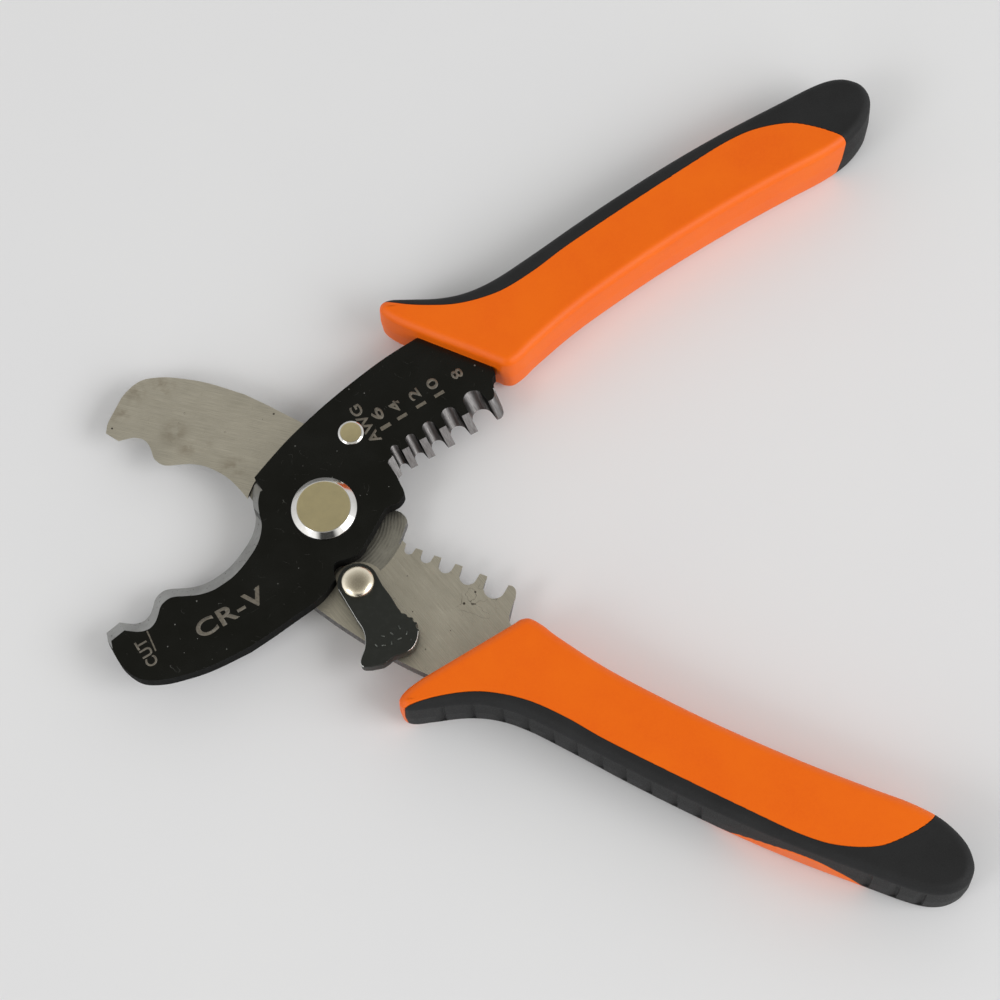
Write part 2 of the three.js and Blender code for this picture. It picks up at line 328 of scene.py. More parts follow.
def pattern(tree, group, **inputs):
    node = tree.nodes.new("ShaderNodeGroup")
    node.node_tree = group
    link(tree, coords(tree), node.inputs["Vector"])
    for name, value in inputs.items():
        link(tree, value, node.inputs[name])
    return node.outputs[0]


def buildSpecks():
    # small round flecks, in a share of the cells of a Voronoi pattern
    group, start, mask = newGroup("specks", Size=0.2, Share=0.3)
    cells = group.nodes.new("ShaderNodeTexVoronoi")
    group.links.new(start["Vector"], cells.inputs["Vector"])
    group.links.new(start["Scale"], cells.inputs["Scale"])
    split = group.nodes.new("ShaderNodeSeparateColor")
    group.links.new(cells.outputs["Color"], split.inputs[0])
    kept = calculate(group, "LESS_THAN", split.outputs[0], start["Share"])
    radius = times(group, split.outputs[1], start["Size"])
    dot = calculate(group, "LESS_THAN", cells.outputs["Distance"], radius)
    link(group, times(group, kept, dot), mask)
    return group


def buildHairlines():
    # broken hairline scratches: thin contours of one noise, kept where a finer one is high
    finer = 2.7
    group, start, mask = newGroup("hairlines", Width=0.01, Share=0.4)
    base = noise(group, start["Vector"], start["Scale"], detail=1.0)
    offset = calculate(group, "ABSOLUTE", calculate(group, "SUBTRACT", base, 0.5))
    line = calculate(group, "LESS_THAN", offset, start["Width"])
    other = noise(group, start["Vector"], times(group, start["Scale"], finer))
    kept = calculate(group, "GREATER_THAN", other, calculate(group, "SUBTRACT", 1.0, start["Share"]))
    link(group, times(group, line, kept), mask)
    return group


def buildPatches():
    # soft uneven patches
    group, start, mask = newGroup("patches", From=0.45, To=0.7)
    base = noise(group, start["Vector"], start["Scale"], detail=5.0, roughness=0.6)
    link(group, remap(group, base, start["From"], start["To"]), mask)
    return group


specks = buildSpecks()
hairlines = buildHairlines()
patches = buildPatches()


def newMaterial(name, metallic=0.0, roughness=0.5, **sockets):
    material = bpy.data.materials.new(name)
    material.use_nodes = True
    tree = material.node_tree
    shader = tree.nodes["Principled BSDF"]
    shader.inputs["Metallic"].default_value = metallic
    shader.inputs["Roughness"].default_value = roughness
    for socketName, value in sockets.items():
        shader.inputs[socketName.replace("_", " ")].default_value = value
    return material, tree, shader


def addBump(tree, shader, height, depth):
    # depth in millimetres for a height of 0 to 1
    node = tree.nodes.new("ShaderNodeBump")
    node.inputs["Strength"].default_value = 1.0
    node.inputs["Distance"].default_value = depth * mm
    tree.links.new(height, node.inputs["Height"])
    tree.links.new(node.outputs[0], shader.inputs["Normal"])


def spotMask(tree, x, y, radius, core):
    # a spot on the rear blade's upper face: 1 within core times its radius, 0 outside it
    source = tree.nodes.new("ShaderNodeTexCoord")
    away = tree.nodes.new("ShaderNodeVectorMath")
    away.operation = "DISTANCE"
    tree.links.new(source.outputs["Object"], away.inputs[0])
    away.inputs[1].default_value = rearPlace @ Vector((x * mm, y * mm, -innerZ))
    return remap(tree, away.outputs["Value"], radius * mm, radius * core * mm)


# finishes
def makeBlackCoat():
    look = {"coat": (0.0030, 0.0032, 0.0018), "haze": (0.0045, 0.0048, 0.0033)}
    look.update({"dust": (0.13, 0.13, 0.12), "hairs": 0.35})  # hairs: how strongly scratches show
    material, tree, shader = newMaterial("blackCoat", roughness=0.22, Specular_IOR_Level=0.34)
    cloud = pattern(tree, patches, Scale=0.12, From=0.35, To=0.75)
    color = blendColor(tree, cloud, look["coat"], look["haze"])
    fleck = pattern(tree, specks, Scale=0.75, Size=0.13, Share=0.3)
    hair = pattern(tree, hairlines, Scale=0.22, Width=0.0011, Share=0.42)
    marks = highest(tree, fleck, times(tree, hair, look["hairs"]))
    color = blendColor(tree, marks, color, look["dust"])
    tree.links.new(color, shader.inputs["Base Color"])
    tree.links.new(remap(tree, cloud, 0, 1, 0.2, 0.32), shader.inputs["Roughness"])
    orangePeel = noise(tree, coords(tree), 1.6, detail=2)
    addBump(tree, shader, orangePeel, 0.006)
    return material


def makeCoatedEdgePaintedShine():
    # the coat on rounded edges, painted lighter and bluer than the faces and in lighter patches: a
    # painted highlight along the edges
    look = {"coat": (0.006, 0.0068, 0.008), "paintedShine": (0.035, 0.04, 0.05)}
    material, tree, shader = newMaterial("coatedEdgePaintedShine", roughness=0.14, Specular_IOR_Level=0.8)
    paintedShine = pattern(tree, patches, Scale=0.5, From=0.45, To=0.7)
    tree.links.new(blendColor(tree, paintedShine, look["coat"], look["paintedShine"]), shader.inputs["Base Color"])
    tree.links.new(remap(tree, paintedShine, 0, 1, 0.1, 0.2), shader.inputs["Roughness"])
    return material


def makeCoatedWall():
    # the punched sides of a coated blade, duller than its faces
    look = {"coat": (0.0022, 0.0024, 0.002), "worn": (0.007, 0.007, 0.0065)}
    material, tree, shader = newMaterial("coatedWall", roughness=0.55, Specular_IOR_Level=0.12)
    drag = noise(tree, coords(tree, cell=(0.25, 0.25, 2.0)), 1.0, detail=3)
    color = blendColor(tree, remap(tree, drag, 0.4, 0.75), look["coat"], look["worn"])
    tree.links.new(color, shader.inputs["Base Color"])
    tree.links.new(remap(tree, drag, 0.3, 0.7, 0.7, 0.9), shader.inputs["Roughness"])
    addBump(tree, shader, drag, 0.02)
    return material


def makeBareBevel():
    look = {"steel": (0.36, 0.36, 0.35), "dull": (0.27, 0.27, 0.26), "chip": (0.07, 0.065, 0.055)}
    material, tree, shader = newMaterial("bareBevel", metallic=1.0)
    strokes = noise(tree, coords(tree, turn=60, cell=(0.9, 0.06, 0.9)), 1.0, detail=3)
    cloud = pattern(tree, patches, Scale=0.3, From=0.4, To=0.75)
    color = blendColor(tree, cloud, look["steel"], look["dull"])
    chips = pattern(tree, patches, Scale=1.7, From=0.63, To=0.67)
    color = blendColor(tree, chips, color, look["chip"])
    tree.links.new(color, shader.inputs["Base Color"])
    tree.links.new(remap(tree, strokes, 0.3, 0.7, 0.38, 0.55), shader.inputs["Roughness"])
    addBump(tree, shader, strokes, 0.012)
    return material


def makeToothSteel():
    look = {"steel": (0.20, 0.192, 0.188), "dark": (0.08, 0.075, 0.07)}
    material, tree, shader = newMaterial("toothSteel", metallic=1.0)
    strokes = noise(tree, coords(tree, turn=118, cell=(1.4, 0.08, 1.4)), 1.0, detail=3)
    color = blendColor(tree, remap(tree, strokes, 0.4, 0.72), look["steel"], look["dark"])
    tree.links.new(color, shader.inputs["Base Color"])
    tree.links.new(remap(tree, strokes, 0.3, 0.7, 0.28, 0.42), shader.inputs["Roughness"])
    addBump(tree, shader, strokes, 0.01)
    return material


def makeGroundSteel():
    look = {
        "steel": (0.82, 0.77, 0.64),
        "shade": (0.66, 0.62, 0.51),
        "dark": (0.47, 0.44, 0.36),
        "stain": (0.30, 0.235, 0.155),
        "speck": (0.10, 0.085, 0.07),
        "jawGrain": 161,  # direction of the grinding marks, in degrees
        "tailGrain": 125,
        "streaks": 0.7,  # how strongly each kind of mark shows
        "stains": 0.42,
        "hairs": 0.45,
        "scratches": 0.75,
        "scratchedAt": (33.0, 4.0, 4.2),  # place in the lever and radius, in millimetres
        "stainedAt": [
            (-45.2, -3.0, 3.2), (-44.0, -7.5, 3.0), (-40.2, -10.6, 3.4), (-33.5, -3.2, 3.4),
            (-27.5, -3.6, 2.2), (-20.4, -1.3, 3.2), (-30.0, -1.2, 2.4),
        ],
    }
    material, tree, shader = newMaterial("groundSteel", metallic=1.0)
    source = tree.nodes.new("ShaderNodeTexCoord")
    split = tree.nodes.new("ShaderNodeSeparateXYZ")
    tree.links.new(source.outputs["Object"], split.inputs[0])
    tail = calculate(tree, "GREATER_THAN", split.outputs["X"], 0.0)

    def brushed(long, wide, detail):
        # grinding marks along one direction on the jaw and another on the tail
        jawMarks, tailMarks = [
            noise(tree, coords(tree, turn=turn, cell=(long, wide, long)), 1.0, detail=detail)
            for turn in (look["jawGrain"], look["tailGrain"])
        ]
        onJaw = times(tree, jawMarks, calculate(tree, "SUBTRACT", 1.0, tail))
        return calculate(tree, "ADD", onJaw, times(tree, tailMarks, tail))

    grain = brushed(9.0, 0.22, 3)
    fine = brushed(5.0, 0.07, 2)
    cloud = pattern(tree, patches, Scale=0.09, From=0.4, To=0.72)
    color = blendColor(tree, cloud, look["steel"], look["shade"])
    streak = calculate(tree, "ADD", times(tree, grain, 0.5), times(tree, fine, 0.5))
    streak = remap(tree, streak, 0.42, 0.62, 0, look["streaks"])
    color = blendColor(tree, streak, color, look["dark"])

    grime = pattern(tree, patches, Scale=0.5, From=0.42, To=0.62)
    spots = 0.0
    for x, y, radius in look["stainedAt"]:
        spots = highest(tree, spotMask(tree, x, y, radius, core=0.2), spots)
    stained = times(tree, times(tree, spots, grime), look["stains"])
    color = blendColor(tree, stained, color, look["stain"])

    dots = pattern(tree, specks, Scale=0.42, Size=0.12, Share=0.35)
    hair = pattern(tree, hairlines, Scale=0.35, Width=0.0016, Share=0.4)
    marks = highest(tree, dots, times(tree, hair, look["hairs"]))
    deeper = pattern(tree, hairlines, Scale=0.42, Width=0.0055, Share=0.62)
    patch = times(tree, spotMask(tree, *look["scratchedAt"], core=0.7), look["scratches"])
    marks = highest(tree, marks, times(tree, patch, deeper))
    color = blendColor(tree, marks, color, look["speck"])
    tree.links.new(color, shader.inputs["Base Color"])
    tree.links.new(remap(tree, grain, 0.3, 0.7, 0.34, 0.5), shader.inputs["Roughness"])
    addBump(tree, shader, calculate(tree, "ADD", grain, fine), 0.01)
    return material


def makeMilledSteel():
    look = {"steel": (0.56, 0.54, 0.47), "dark": (0.24, 0.23, 0.20)}
    material, tree, shader = newMaterial("milledSteel", metallic=1.0)
    rings = tree.nodes.new("ShaderNodeTexWave")
    rings.wave_type = "RINGS"
    rings.rings_direction = "Z"
    tree.links.new(coords(tree), rings.inputs["Vector"])
    rings.inputs["Scale"].default_value = 0.55
    rings.inputs["Distortion"].default_value = 1.5
    rings.inputs["Detail"].default_value = 3
    cloud = pattern(tree, patches, Scale=0.35, From=0.35, To=0.7)
    mask = times(tree, rings.outputs["Fac"], cloud)
    color = blendColor(tree, mask, look["steel"], look["dark"])
    tree.links.new(color, shader.inputs["Base Color"])
    tree.links.new(remap(tree, rings.outputs["Fac"], 0, 1, 0.3, 0.45), shader.inputs["Roughness"])
    addBump(tree, shader, rings.outputs["Fac"], 0.008)
    return material


def makePlating(name, color, dull, roughness, grainDepth):
    # plated or bright steel; dull is its tint where it is hazy
    flecks, fleckShade = 0.5, 0.3  # how strongly flecks show, and how dark they are
    material, tree, shader = newMaterial(name, metallic=1.0)
    cloud = pattern(tree, patches, Scale=0.35, From=0.4, To=0.75)
    grain = noise(tree, coords(tree), 7.0, detail=3)
    fleck = pattern(tree, specks, Scale=0.9, Size=0.1, Share=0.25)
    tint = blendColor(tree, cloud, color, dull)
    darker = [part * fleckShade for part in dull]
    tint = blendColor(tree, times(tree, fleck, flecks), tint, darker)
    tree.links.new(tint, shader.inputs["Base Color"])
    smoother, rougher = roughness * 0.85, roughness * 1.2
    tree.links.new(remap(tree, grain, 0.3, 0.7, smoother, rougher), shader.inputs["Roughness"])
    addBump(tree, shader, grain, grainDepth)
    return material


def makeBlackOxide():
    look = {"steel": (0.013, 0.0145, 0.0115), "worn": (0.04, 0.042, 0.038)}
    look.update({"fleck": (0.14, 0.15, 0.14), "wear": 0.35})  # wear: how strongly it shows
    material, tree, shader = newMaterial("blackOxide", roughness=0.42, Specular_IOR_Level=0.4)
    cloud = pattern(tree, patches, Scale=0.8, From=0.5, To=0.85)
    fleck = pattern(tree, specks, Scale=1.1, Size=0.14, Share=0.25)
    color = blendColor(tree, times(tree, cloud, look["wear"]), look["steel"], look["worn"])
    color = blendColor(tree, fleck, color, look["fleck"])
    tree.links.new(color, shader.inputs["Base Color"])
    grain = noise(tree, coords(tree), 6.0, detail=3)
    tree.links.new(remap(tree, grain, 0.3, 0.7, 0.36, 0.5), shader.inputs["Roughness"])
    addBump(tree, shader, grain, 0.01)
    return material


def makeWornOxide():
    look = {"steel": (0.035, 0.04, 0.035), "bare": (0.16, 0.17, 0.155)}
    material, tree, shader = newMaterial("wornOxide", roughness=0.4)
    rub = pattern(tree, patches, Scale=1.4, From=0.45, To=0.6)
    tree.links.new(blendColor(tree, rub, look["steel"], look["bare"]), shader.inputs["Base Color"])
    tree.links.new(remap(tree, rub, 0, 1, 0.45, 0.3), shader.inputs["Roughness"])
    return material


def makeOrangePlastic():
    look = {"plastic": (0.89, 0.15, 0.0), "deep": (0.84, 0.122, 0.0), "speck": (0.3, 0.03, 0.01)}
    material, tree, shader = newMaterial("orangePlastic", roughness=0.44, Specular_IOR_Level=0.3)
    cloud = pattern(tree, patches, Scale=0.07, From=0.35, To=0.7)
    mottle = noise(tree, coords(tree), 2.2, detail=3)
    shade = times(tree, cloud, remap(tree, mottle, 0.3, 0.7, 0.5, 1.0))
    color = blendColor(tree, shade, look["plastic"], look["deep"])
    dots = pattern(tree, specks, Scale=0.11, Size=0.035, Share=0.35)
    color = blendColor(tree, dots, color, look["speck"])
    tree.links.new(color, shader.inputs["Base Color"])
    grain = noise(tree, coords(tree), 5.5, detail=2)
    tree.links.new(remap(tree, grain, 0.3, 0.7, 0.40, 0.50), shader.inputs["Roughness"])
    addBump(tree, shader, grain, 0.018)
    return material


def makeCharcoalRubber():
    look = {"rubber": (0.0105, 0.0107, 0.0109), "bloom": (0.0165, 0.0167, 0.0172)}
    look["dust"] = (0.2, 0.2, 0.19)
    material, tree, shader = newMaterial("charcoalRubber", roughness=0.5, Specular_IOR_Level=0.28)
    cloud = pattern(tree, patches, Scale=0.1, From=0.35, To=0.75)
    color = blendColor(tree, cloud, look["rubber"], look["bloom"])
    dots = pattern(tree, specks, Scale=0.35, Size=0.05, Share=0.3)
    color = blendColor(tree, dots, color, look["dust"])
    tree.links.new(color, shader.inputs["Base Color"])
    grain = noise(tree, coords(tree), 4.5, detail=3)
    tree.links.new(remap(tree, grain, 0.3, 0.7, 0.56, 0.76), shader.inputs["Roughness"])
    addBump(tree, shader, grain, 0.03)
    return material


def makeMarkingInk():
    look = {"ink": (0.135, 0.118, 0.09), "worn": (0.07, 0.062, 0.05)}
    material, tree, shader = newMaterial("markingInk", roughness=0.5)
    wear = pattern(tree, patches, Scale=2.2, From=0.5, To=0.68)
    color = blendColor(tree, wear, look["ink"], look["worn"])
    tree.links.new(color, shader.inputs["Base Color"])
    addBump(tree, shader, wear, 0.01)
    return material


def makeFloorBoard():
    look = {"board": (0.80, 0.80, 0.805), "tone": (0.79, 0.79, 0.80)}
    material, tree, shader = newMaterial("floorBoard", roughness=0.75, Specular_IOR_Level=0.2)
    cloud = pattern(tree, patches, Scale=0.012, From=0.35, To=0.65)
    tree.links.new(blendColor(tree, cloud, look["board"], look["tone"]), shader.inputs["Base Color"])
    return material


blackCoat = makeBlackCoat()
coatedWall = makeCoatedWall()
coatedEdgePaintedShine = makeCoatedEdgePaintedShine()
bareBevel = makeBareBevel()
toothSteel = makeToothSteel()
groundSteel = makeGroundSteel()
milledSteel = makeMilledSteel()
satinNickel = makePlating("satinNickel", (0.90, 0.785, 0.46), (0.82, 0.715, 0.42), 0.33, 0.004)
brightNickel = makePlating("brightNickel", (0.66, 0.645, 0.615), (0.54, 0.52, 0.48), 0.1, 0.001)
domeNickel = makePlating("domeNickel", (0.86, 0.78, 0.62), (0.74, 0.67, 0.52), 0.24, 0.004)
springSteel = makePlating("springSteel", (0.40, 0.40, 0.39), (0.28, 0.28, 0.27), 0.3, 0.003)
# light bare steel, for worn rims and for the latch's painted highlight and glint
bareEdgeOrHighlight = makePlating("bareEdgeOrHighlight", (0.72, 0.72, 0.70), (0.45, 0.45, 0.43), 0.34, 0.006)
blackOxide = makeBlackOxide()
wornOxide = makeWornOxide()
orangePlastic = makeOrangePlastic()
charcoalRubber = makeCharcoalRubber()
markingInk = makeMarkingInk()
print("finishes made")


def makeStage():
    stage = {
        "floorSize": 6.0,
        "cameraAt": (41.70, -166.72, 425.99),  # millimetres
        "cameraTurn": (21.5, 2.7, -3.61),  # degrees
        "lens": 88.2,
        "horizon": 1.2,  # how bright the room is at the horizon and overhead
        "overhead": 0.25,
        "rise": (0.45, 0.95),  # where one turns into the other; directions run from -1 to 1
        "near": 1.35,  # how bright its near and far sides are
        "far": 0.7,
        "depth": (-0.7, 0.5),
        "maker": 0.05,  # the dark figure of whoever stands at the bench, and its soft edges
        "makerSides": (0.25, 0.45),
        "makerBack": (-0.6, -0.5),
        "makerTop": (0.62, 0.7),
        "lowTint": (0.97, 0.98, 1.0),
        "highTint": (1.0, 0.97, 0.88),
        "tintRise": (0.5, 0.95),
    }
    clearSelection()
    bpy.ops.mesh.primitive_plane_add(size=stage["floorSize"], location=(0, 0, cadBox[0].z))
    floor = bpy.context.object
    floor.name = "floor"
    floor.data.materials.append(makeFloorBoard())
    bpy.ops.object.camera_add(
        location=[size * mm for size in stage["cameraAt"]],
        rotation=[math.radians(turn) for turn in stage["cameraTurn"]],
    )
    camera = bpy.context.object
    camera.data.lens = stage["lens"]
    camera.data.clip_start = 0.01
    bpy.context.scene.camera = camera
    bpy.context.scene.view_settings.view_transform = "Standard"

    world = bpy.data.worlds.new("studio")
    bpy.context.scene.world = world
    world.use_nodes = True
    tree = world.node_tree
    source = tree.nodes.new("ShaderNodeTexCoord")
    split = tree.nodes.new("ShaderNodeSeparateXYZ")
    tree.links.new(source.outputs["Generated"], split.inputs[0])
    across, along, up = split.outputs
    level = remap(tree, up, *stage["rise"], stage["horizon"], stage["overhead"])
    side = remap(tree, along, *stage["depth"], stage["near"], stage["far"])
    beside = calculate(tree, "ABSOLUTE", across)
    figure = remap(tree, beside, *stage["makerSides"], stage["maker"], 1)
    behind = remap(tree, along, *stage["makerBack"])
    above = remap(tree, up, *stage["makerTop"])
    figure = highest(tree, figure, highest(tree, behind, above))
    level = times(tree, times(tree, level, side), figure)
    tint = blendColor(tree, remap(tree, up, *stage["tintRise"]), stage["lowTint"], stage["highTint"])
    background = tree.nodes["Background"]
    tree.links.new(tint, background.inputs["Color"])
    tree.links.new(level, background.inputs["Strength"])


def addWindow(name, at, size, power, aim=(0.03, 0, 0)):
    clearSelection()
    bpy.ops.object.light_add(type="AREA", location=at)
    lamp = bpy.context.object
    lamp.name = name
    lamp.data.shape = "RECTANGLE"
    lamp.data.size, lamp.data.size_y = size
    lamp.data.energy = power
    lamp.rotation_euler = (Vector(aim) - Vector(at)).to_track_quat("-Z", "Y").to_euler()


makeStage()
addWindow("windowRight", at=(1.25, -0.55, 1.0), size=(1.0, 0.8), power=10.6)
addWindow("windowLeft", at=(-1.0, -0.7, 1.0), size=(0.5, 0.5), power=3.1)
print("stage, lights and camera placed")


def makeBlade(node, name, body, place, finishes, bevelSide):
    # finishes: flat faces, jaw bevel, tooth bevel, pocket floor, punched walls and rounded edges
    sizes = {
        "edge": 0.18,
        "jawEnd": -5.0,  # the jaw lies before this x in a lever, the teeth after it
        "outerSkin": 1.4,  # a pocket floor lies at least so far inside the outer face
        "innerSkin": 0.3,  # and the inner face
        "bevelTilt": (0.3, 0.95),  # upward part of the normal on a ground bevel
        "flatTilt": 0.9,
        "wallTilt": 0.2,
    }
    steep, shallow = sizes["bevelTilt"]
    piece = copyNode(node, name)
    toLever = place.inverted()
    piece.data.materials.clear()
    for finish in finishes:
        piece.data.materials.append(finish)
    for face in piece.data.polygons:
        tilt = abs(face.normal.z)
        height = abs(face.center.z - middleZ)
        face.material_index = 0
        if steep < face.normal.z * bevelSide < shallow:
            onJaw = (toLever @ face.center).x < sizes["jawEnd"] * mm
            face.material_index = 1 if onJaw else 2
        inPocket = innerZ + sizes["innerSkin"] * mm < height < faceZ - sizes["outerSkin"] * mm
        if tilt > sizes["flatTilt"] and inPocket:
            face.material_index = 3
        if tilt < sizes["wallTilt"]:
            face.material_index = 4
    bevelEdges(piece, sizes["edge"], material=len(finishes) - 1)
    smooth(piece, 30)
    return finishPiece(piece, Matrix.Identity(4), body, [], [node])


# the front blade's rounded edges get the lighter, bluer edge finish, which is a painted highlight
makeBlade(
    "front_blade", "frontBlade", "front_lever", frontPlace,
    [blackCoat, bareBevel, toothSteel, milledSteel, coatedWall, coatedEdgePaintedShine], bevelSide=1,
)
makeBlade(
    "rear_blade", "rearBlade", "rear_lever", rearPlace,
    [groundSteel, bareBevel, toothSteel, milledSteel, toothSteel, groundSteel], bevelSide=-1,
)
print("blades made")


def roundOff(piece, width, segments=3, angle=25):
    bevelEdges(piece, width, segments, angle)
    smooth(piece, 40)


def brightWhere(piece, test):
    # gives a piece's second finish to some of its faces
    for face in piece.data.polygons:
        face.material_index = 1 if test(face) else 0


flatTop = 0.97  # upward part of the normal on the satin top of a headed pin


def makePivot():
    sizes = {"shank": 3.2, "head": 6.15, "flat": 5.0, "chamfer": 0.9, "rounding": 0.14, "gap": 0.05}
    low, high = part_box("pivot_bolt")
    foot, top, end = faceZ / mm + sizes["gap"], (high.z - middleZ) / mm, (low.z - middleZ) / mm
    shank, head, flat = sizes["shank"], sizes["head"], sizes["flat"]
    profile = [(0, end), (shank, end), (shank, foot), (head, foot), (head, top - sizes["chamfer"])]
    bolt = spinPiece("pivotBolt", profile + [(flat, top), (0, top)], steps=128)
    roundOff(bolt, sizes["rounding"])
    brightWhere(bolt, lambda face: face.normal.z < flatTop)
    finishPiece(bolt, lift, "front_lever", [satinNickel, brightNickel], ["pivot_bolt"])

    low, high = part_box("pivot_nut")
    rear, front = (low.z - middleZ) / mm, (high.z - middleZ) / mm
    profile = [(0, rear), (flat, rear), (head, rear + sizes["chamfer"]), (head, front), (0, front)]
    nut = spinPiece("pivotNut", profile, steps=128)
    roundOff(nut, sizes["rounding"])
    brightWhere(nut, lambda face: face.normal.z > -flatTop)
    finishPiece(nut, lift, "front_lever", [satinNickel, brightNickel], ["pivot_nut"])


def makeWasher(node, name, body, hole, radius, at=(0, 0), place=lift):
    low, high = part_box(node)
    bottom, top = (low.z - middleZ) / mm, (high.z - middleZ) / mm
    profile = [(hole, bottom), (radius, bottom), (radius, top), (hole, top), (hole, bottom)]
    piece = spinPiece(name, profile, at)
    roundOff(piece, 0.05, segments=2)
    finishPiece(piece, place, body, [springSteel], [node])


def makeStopPin():
    sizes = {"shank": 1.9, "head": 2.45, "flat": 2.0, "collar": 3.1, "rim": 0.22, "height": 0.5}
    back, foot = -faceZ / mm, faceZ / mm + 0.02
    rim, top = foot + sizes["rim"], foot + sizes["height"]
    shank, head, collar = sizes["shank"], sizes["head"], sizes["collar"]
    profile = [(0, back), (collar, back), (collar, 0), (shank, 0), (shank, foot), (head, foot)]
    profile += [(head, rim), (sizes["flat"], top), (0, top)]
    pin = spinPiece("stopPin", profile, studPlace)
    roundOff(pin, 0.09)
    brightWhere(pin, lambda face: face.normal.z < flatTop)
    finishes = [satinNickel, brightNickel]
    finishPiece(pin, frontPlace, "front_lever", finishes, ["stop_pin"])


def makeLatchRivet():
    sizes = {"shank": 1.9, "dome": 3.05, "domeHeight": 1.5, "rim": 0.25, "rings": 12}
    sizes.update({"tail": 2.9, "tailFlat": 2.5, "tailHeight": 0.6})
    foot = (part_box("latch")[1].z - middleZ) / mm + 0.05
    back = -(faceZ / mm + 0.02)
    shank, dome, rim = sizes["shank"], sizes["dome"], sizes["rim"]
    profile = [(0, back - sizes["tailHeight"]), (sizes["tailFlat"], back - sizes["tailHeight"])]
    profile += [(sizes["tail"], back), (shank, back), (shank, foot), (dome, foot)]
    for ring in range(sizes["rings"] + 1):
        angle = ring / sizes["rings"] * math.pi / 2
        height = foot + rim + (sizes["domeHeight"] - rim) * math.sin(angle)
        profile.append((dome * math.cos(angle) if ring < sizes["rings"] else 0, height))
    rivet = spinPiece("latchRivet", profile, studPlace)
    roundOff(rivet, 0.06, segments=2, angle=32)
    finishPiece(rivet, rearPlace, "rear_lever", [domeNickel], ["latch_rivet"])


def makeSpring():
    sizes = {"radius": 7.4, "wire": 0.5, "rise": 0.6, "legs": 1.9, "knee": 1.2}
    sizes.update({"start": 150, "turn": 300, "step": 6})  # degrees
    sizes["blend"] = 0.5  # how far from the middle the coil would turn from lever to lever; the coil here does not turn with them
    clearSelection()
    points = []

    def onCoil(degrees, z):
        angle = math.radians(degrees)
        points.append((sizes["radius"] * math.cos(angle), sizes["radius"] * math.sin(angle), z))

    begin, turn, step = sizes["start"], sizes["turn"], sizes["step"]
    onCoil(begin, -sizes["legs"])
    onCoil(begin, -sizes["knee"])
    for degrees in range(step, turn, step):
        onCoil(begin + degrees, sizes["rise"] * (degrees / turn - 0.5))
    onCoil(begin + turn, sizes["knee"])
    onCoil(begin + turn, sizes["legs"])
    wire = bpy.data.curves.new("returnSpring", "CURVE")
    wire.dimensions = "3D"
    wire.bevel_depth = sizes["wire"] * mm
    wire.bevel_resolution = 5
    wire.use_fill_caps = True
    line = wire.splines.new("POLY")
    line.points.add(len(points) - 1)
    for knot, (x, y, z) in zip(line.points, points):
        knot.co = (x * mm, y * mm, z * mm, 1)
    piece = bpy.data.objects.new("returnSpring", wire)
    bpy.context.scene.collection.objects.link(piece)
    pick(piece)
    bpy.ops.object.convert(target="MESH")
    piece = bpy.context.object
    editMesh(piece)
    bpy.ops.mesh.remove_doubles(threshold=0.001 * mm)
    faceOutwards(piece)
    piece.data.transform(lift)
    smooth(piece, 50)
    piece.data.materials.append(springSteel)
    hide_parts("return_spring")
    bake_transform(piece)


makePivot()
makeWasher("pivot_washer", "pivotWasher", "front_lever", 3.3, 5.6)
makeWasher("latch_washer", "latchWasher", "rear_lever", 2.0, 3.4, studPlace, rearPlace)
makeStopPin()
makeLatchRivet()
makeSpring()
print("pivot, spring and studs made")


def makeLatchMarks(top):
    # short raised marks on the tab
    sizes = {
        "mark": (0.75, 0.22, 0.2),
        "rounding": 0.05,
        "places": [  # place in the lever and turn of each
            (20.3, 19.8, 20), (21.5, 19.2, -35), (22.6, 18.2, 60), (21.9, 16.6, 15),
            (23.6, 16.9, -50), (22.6, 15.0, 35), (20.6, 17.7, -15), (24.3, 15.4, 75),
        ],
    }
    marks = []
    for x, y, turn in sizes["places"]:
        clearSelection()
        bpy.ops.mesh.primitive_cube_add(size=1)
        mark = bpy.context.object
        size = Matrix.Diagonal((*(side * mm for side in sizes["mark"]), 1))
        place = Matrix.Translation((x * mm, y * mm, top))
        mark.data.transform(rearPlace @ place @ Matrix.Rotation(math.radians(turn), 4, "Z") @ size)
        useModifier(mark, "BEVEL", width=sizes["rounding"] * mm, segments=2)
        marks.append(mark)
    raised = joinPieces(marks, "latchMarks")
    faceOutwards(raised)
    smooth(raised, 40)
    finishPiece(raised, Matrix.Identity(4), "latch", [wornOxide])


